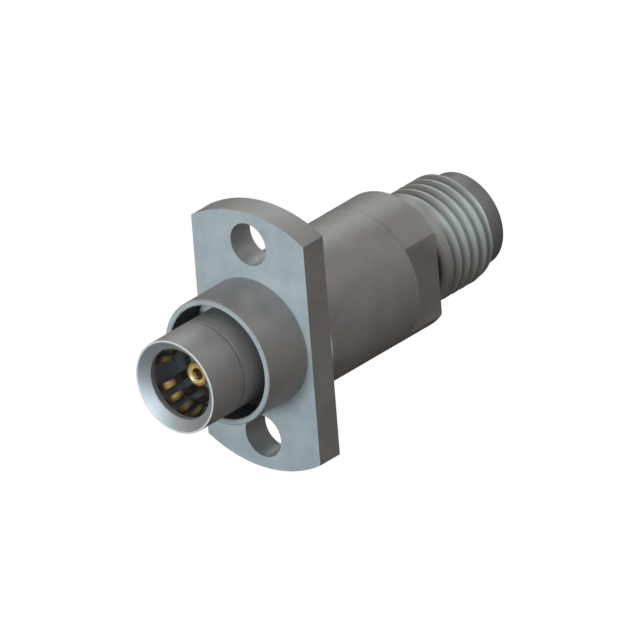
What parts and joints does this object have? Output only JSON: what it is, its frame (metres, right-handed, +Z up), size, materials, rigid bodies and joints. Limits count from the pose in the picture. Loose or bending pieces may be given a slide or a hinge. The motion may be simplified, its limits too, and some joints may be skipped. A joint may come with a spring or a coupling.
{
  "type": "rf coaxial connector",
  "caption": "Float-mount coaxial adapter with a two-hole flange, a sprung push-on socket in front and a threaded socket behind.",
  "frame": {"origin": "centre of the flange's front face, on the connector's axis", "axes": "-Y out of the push-on mouth, +Y to the threaded end, +Z up along the line of the screw holes"},
  "size_m": [0.008, 0.0246, 0.0152],
  "materials": {
    "stainless_steel": "satin",
    "spring_steel": "satin",
    "gold_plate": "satin",
    "cream_plastic": "satin",
    "bead_plastic": "satin",
    "white_insulator": "satin"
  },
  "bodies": {
    "housing": {"flange_housing": "stainless_steel", "seat_washer": "stainless_steel", "compression_spring": "spring_steel"},
    "float_washer": {"thrust_washer": "stainless_steel"},
    "connector": {"mouth_shell": "stainless_steel", "front_body": "stainless_steel", "guide_ring": "cream_plastic", "finger_strip": "gold_plate", "lock_ring": "stainless_steel", "front_bead": "bead_plastic", "front_contact": "gold_plate", "centre_conductor": "gold_plate", "rear_contact": "gold_plate", "rear_insulator": "white_insulator", "rear_body": "stainless_steel"}
  },
  "joints": [
    {"name": "axial_float", "type": "slide", "parent": "housing", "child": "float_washer", "axis": [0, 1, 0], "range_m": [0, 0.00152], "stiffness_N_per_m": 1500, "springref_m": -0.003, "deforming": ["compression_spring"]},
    {"name": "connector_turn", "type": "hinge", "parent": "float_washer", "child": "connector", "pos_m": [0, 0, 0], "axis": [0, 1, 0], "continuous": true}
  ]
}
